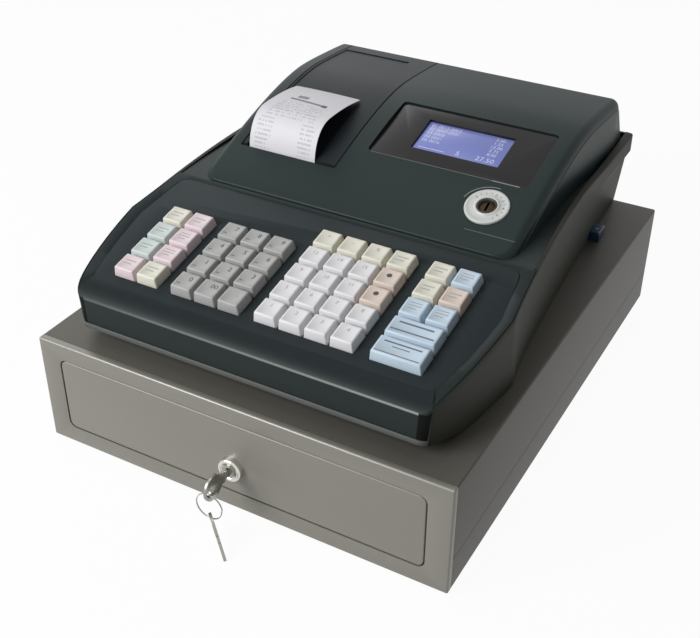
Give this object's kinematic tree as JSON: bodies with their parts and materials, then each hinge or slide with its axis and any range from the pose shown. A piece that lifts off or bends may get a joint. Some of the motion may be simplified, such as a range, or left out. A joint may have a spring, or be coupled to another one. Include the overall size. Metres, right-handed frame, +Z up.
{
  "type": "ticket register",
  "caption": "Electronic ticket register with keyboard, receipt printer and tilted display, standing on a lockable sheet-steel cash drawer.",
  "frame": {"origin": "middle of the footprint on the counter, with the spare key that leans on it counted in the depth", "axes": "+Z up from the counter, -Y towards the person at the keys (the drawer opens along -Y), +X to that person's right"},
  "size_m": [0.32, 0.4422, 0.1967],
  "materials": {
    "case_paint": "fine textured grey paint",
    "front_paint": "fine metallic warm grey paint",
    "tub_paint": "dark grey paint",
    "zinc_steel": "zinc plated",
    "feet_rubber": "matt",
    "tray_plastic": "moulded",
    "lock_chrome": "polished",
    "key_nickel": "nickel plated",
    "coil": "wound coil in its bracket",
    "cheek_plastic": "fine textured",
    "dark_plastic": "fine textured, slightly green grey",
    "panel_plastic": "satin",
    "window_gloss": "smoked",
    "display_blue": "lit blue",
    "dial_white": "satin",
    "lock_dark": "dark plated",
    "paper": "thermal paper",
    "printer_steel": "zinc plated",
    "platen_rubber": "ground",
    "gear_plastic": "moulded",
    "motor_can": "satin",
    "board_green": "circuit board",
    "transformer": "varnished",
    "stick_blue": "glossy",
    "key_grey": "fine textured",
    "key_white": "fine textured",
    "key_pink": "fine textured",
    "key_blue": "fine textured"
  },
  "bodies": {
    "base": {"case_shell": "case_paint", "case_pan": "case_paint", "front_frame": "front_paint", "case_feet": "feet_rubber", "case_rails": "zinc_steel", "case_screws": "zinc_steel", "release_solenoid": "coil", "kick_spring": "zinc_steel", "lower_case": "cheek_plastic", "upper_case": "dark_plastic", "key_deck": "panel_plastic", "key_board": "board_green", "head_cover": "dark_plastic", "display_window": "window_gloss", "lcd_panel": "display_blue", "mode_dial": "dial_white", "printer_frame": "printer_steel", "printer_motor": "motor_can", "main_board": "board_green", "power_supply": "transformer"},
    "drawer": {"drawer_tub": "tub_paint", "drawer_front": "front_paint", "cash_tray": "tray_plastic", "clip_rod": "zinc_steel", "drawer_lock": "lock_chrome"},
    "note_clips": {"bill_clips": "tray_plastic"},
    "lock_turn": {"lock_plug": "key_nickel", "drawer_key": "key_nickel"},
    "ring": {"key_ring": "zinc_steel"},
    "spare": {"spare_key": "key_nickel"},
    "latch": {"latch_hook": "zinc_steel"},
    "mode_turn": {"mode_plug": "lock_dark"},
    "cover": {"printer_cover": "dark_plastic", "receipt_paper": "paper"},
    "platen": {"platen_roller": "platen_rubber"},
    "roll": {"paper_roll": "paper"},
    "pinion": {"drive_gear": "gear_plastic"},
    "stick": {"memory_stick": "stick_blue"},
    "num_key_7_body": {"num_key_7": "key_grey"},
    "num_key_8_body": {"num_key_8": "key_grey"},
    "num_key_9_body": {"num_key_9": "key_grey"},
    "num_key_4_body": {"num_key_4": "key_grey"},
    "num_key_5_body": {"num_key_5": "key_grey"},
    "num_key_6_body": {"num_key_6": "key_grey"},
    "num_key_1_body": {"num_key_1": "key_grey"},
    "num_key_2_body": {"num_key_2": "key_grey"},
    "num_key_3_body": {"num_key_3": "key_grey"},
    "num_key_0_body": {"num_key_0": "key_grey"},
    "num_key_00_body": {"num_key_00": "key_grey"},
    "num_key_dot_body": {"num_key_dot": "key_grey"},
    "left_keys_a_body": {"left_keys_a": "key_pink"},
    "left_keys_b_body": {"left_keys_b": "key_pink"},
    "dept_keys_a_body": {"dept_keys_a": "key_white"},
    "dept_keys_b_body": {"dept_keys_b": "key_white"},
    "dept_keys_c_body": {"dept_keys_c": "key_white"},
    "dept_keys_d_body": {"dept_keys_d": "key_white"},
    "pay_keys_a_body": {"pay_keys_a": "key_blue"},
    "pay_keys_b_body": {"pay_keys_b": "key_blue"},
    "subtotal_key_body": {"subtotal_key": "key_blue"},
    "total_key_body": {"total_key": "key_blue"}
  },
  "joints": [
    {"name": "drawer_slide", "type": "slide", "parent": "base", "child": "drawer", "axis": [0, -1, 0], "range_m": [0, 0.26]},
    {"name": "note_clip_hinge", "type": "hinge", "parent": "drawer", "child": "note_clips", "pos_m": [0, 0.18265, 0.059], "axis": [-1, 0, 0], "range_deg": [0, 48]},
    {"name": "drawer_lock_turn", "type": "hinge", "parent": "drawer", "child": "lock_turn", "pos_m": [0, -0.17685, 0.0384], "axis": [0, -1, 0], "range_deg": [0, 90]},
    {"name": "key_ring_swing", "type": "hinge", "parent": "lock_turn", "child": "ring", "pos_m": [0, -0.20485, 0.0367], "axis": [-1, 0, 0], "range_deg": [0, 30]},
    {"name": "spare_key_swing", "type": "hinge", "parent": "ring", "child": "spare", "pos_m": [0.001, -0.20485, 0.01595], "axis": [-1, 0, 0], "range_deg": [0, 30]},
    {"name": "latch_turn", "type": "hinge", "parent": "base", "child": "latch", "pos_m": [0.02, 0.20115, 0.006], "axis": [0, 0, -1], "range_deg": [0, 25]},
    {"name": "mode_lock_turn", "type": "hinge", "parent": "base", "child": "mode_turn", "pos_m": [0.0912, 0.01275, 0.16997], "axis": [0, -0.3435, 0.9391], "range_deg": [-60, 120]},
    {"name": "printer_cover_hinge", "type": "hinge", "parent": "base", "child": "cover", "pos_m": [-0.0715, 0.18465, 0.1895], "axis": [-1, 0, 0], "range_deg": [0, 75]},
    {"name": "platen_spin", "type": "hinge", "parent": "base", "child": "platen", "pos_m": [-0.077, 0.02315, 0.15], "axis": [-1, 0, 0], "continuous": true},
    {"name": "roll_spin", "type": "hinge", "parent": "base", "child": "roll", "pos_m": [-0.077, 0.09315, 0.15], "axis": [-1, 0, 0], "continuous": true},
    {"name": "pinion_spin", "type": "hinge", "parent": "base", "child": "pinion", "pos_m": [-0.041, 0.02315, 0.1332], "axis": [-1, 0, 0], "continuous": true},
    {"name": "memory_stick_slide", "type": "slide", "parent": "base", "child": "stick", "axis": [1, 0, 0], "range_m": [0, 0.02]},
    {"name": "num_key_7_press", "type": "slide", "parent": "base", "child": "num_key_7_body", "axis": [0, 0.1908, -0.9816], "range_m": [0, 0.0035], "stiffness_N_per_m": 150, "springref_m": -0.002},
    {"name": "num_key_8_press", "type": "slide", "parent": "base", "child": "num_key_8_body", "axis": [0, 0.1908, -0.9816], "range_m": [0, 0.0035], "stiffness_N_per_m": 150, "springref_m": -0.002},
    {"name": "num_key_9_press", "type": "slide", "parent": "base", "child": "num_key_9_body", "axis": [0, 0.1908, -0.9816], "range_m": [0, 0.0035], "stiffness_N_per_m": 150, "springref_m": -0.002},
    {"name": "num_key_4_press", "type": "slide", "parent": "base", "child": "num_key_4_body", "axis": [0, 0.1908, -0.9816], "range_m": [0, 0.0035], "stiffness_N_per_m": 150, "springref_m": -0.002},
    {"name": "num_key_5_press", "type": "slide", "parent": "base", "child": "num_key_5_body", "axis": [0, 0.1908, -0.9816], "range_m": [0, 0.0035], "stiffness_N_per_m": 150, "springref_m": -0.002},
    {"name": "num_key_6_press", "type": "slide", "parent": "base", "child": "num_key_6_body", "axis": [0, 0.1908, -0.9816], "range_m": [0, 0.0035], "stiffness_N_per_m": 150, "springref_m": -0.002},
    {"name": "num_key_1_press", "type": "slide", "parent": "base", "child": "num_key_1_body", "axis": [0, 0.1908, -0.9816], "range_m": [0, 0.0035], "stiffness_N_per_m": 150, "springref_m": -0.002},
    {"name": "num_key_2_press", "type": "slide", "parent": "base", "child": "num_key_2_body", "axis": [0, 0.1908, -0.9816], "range_m": [0, 0.0035], "stiffness_N_per_m": 150, "springref_m": -0.002},
    {"name": "num_key_3_press", "type": "slide", "parent": "base", "child": "num_key_3_body", "axis": [0, 0.1908, -0.9816], "range_m": [0, 0.0035], "stiffness_N_per_m": 150, "springref_m": -0.002},
    {"name": "num_key_0_press", "type": "slide", "parent": "base", "child": "num_key_0_body", "axis": [0, 0.1908, -0.9816], "range_m": [0, 0.0035], "stiffness_N_per_m": 150, "springref_m": -0.002},
    {"name": "num_key_00_press", "type": "slide", "parent": "base", "child": "num_key_00_body", "axis": [0, 0.1908, -0.9816], "range_m": [0, 0.0035], "stiffness_N_per_m": 150, "springref_m": -0.002},
    {"name": "num_key_dot_press", "type": "slide", "parent": "base", "child": "num_key_dot_body", "axis": [0, 0.1908, -0.9816], "range_m": [0, 0.0035], "stiffness_N_per_m": 150, "springref_m": -0.002},
    {"name": "left_keys_a_press", "type": "slide", "parent": "base", "child": "left_keys_a_body", "axis": [0, 0.1908, -0.9816], "range_m": [0, 0.0035], "stiffness_N_per_m": 150, "springref_m": -0.002},
    {"name": "left_keys_b_press", "type": "slide", "parent": "base", "child": "left_keys_b_body", "axis": [0, 0.1908, -0.9816], "range_m": [0, 0.0035], "stiffness_N_per_m": 150, "springref_m": -0.002},
    {"name": "dept_keys_a_press", "type": "slide", "parent": "base", "child": "dept_keys_a_body", "axis": [0, 0.1908, -0.9816], "range_m": [0, 0.0035], "stiffness_N_per_m": 150, "springref_m": -0.002},
    {"name": "dept_keys_b_press", "type": "slide", "parent": "base", "child": "dept_keys_b_body", "axis": [0, 0.1908, -0.9816], "range_m": [0, 0.0035], "stiffness_N_per_m": 150, "springref_m": -0.002},
    {"name": "dept_keys_c_press", "type": "slide", "parent": "base", "child": "dept_keys_c_body", "axis": [0, 0.1908, -0.9816], "range_m": [0, 0.0035], "stiffness_N_per_m": 150, "springref_m": -0.002},
    {"name": "dept_keys_d_press", "type": "slide", "parent": "base", "child": "dept_keys_d_body", "axis": [0, 0.1908, -0.9816], "range_m": [0, 0.0035], "stiffness_N_per_m": 150, "springref_m": -0.002},
    {"name": "pay_keys_a_press", "type": "slide", "parent": "base", "child": "pay_keys_a_body", "axis": [0, 0.1908, -0.9816], "range_m": [0, 0.0035], "stiffness_N_per_m": 150, "springref_m": -0.002},
    {"name": "pay_keys_b_press", "type": "slide", "parent": "base", "child": "pay_keys_b_body", "axis": [0, 0.1908, -0.9816], "range_m": [0, 0.0035], "stiffness_N_per_m": 150, "springref_m": -0.002},
    {"name": "subtotal_key_press", "type": "slide", "parent": "base", "child": "subtotal_key_body", "axis": [0, 0.1908, -0.9816], "range_m": [0, 0.0035], "stiffness_N_per_m": 150, "springref_m": -0.002},
    {"name": "total_key_press", "type": "slide", "parent": "base", "child": "total_key_body", "axis": [0, 0.1908, -0.9816], "range_m": [0, 0.0035], "stiffness_N_per_m": 150, "springref_m": -0.002}
  ],
  "couplings": [
    {"joint": "roll_spin", "follows": "platen_spin", "ratio": 0.26667},
    {"joint": "pinion_spin", "follows": "platen_spin", "ratio": -2.5}
  ]
}
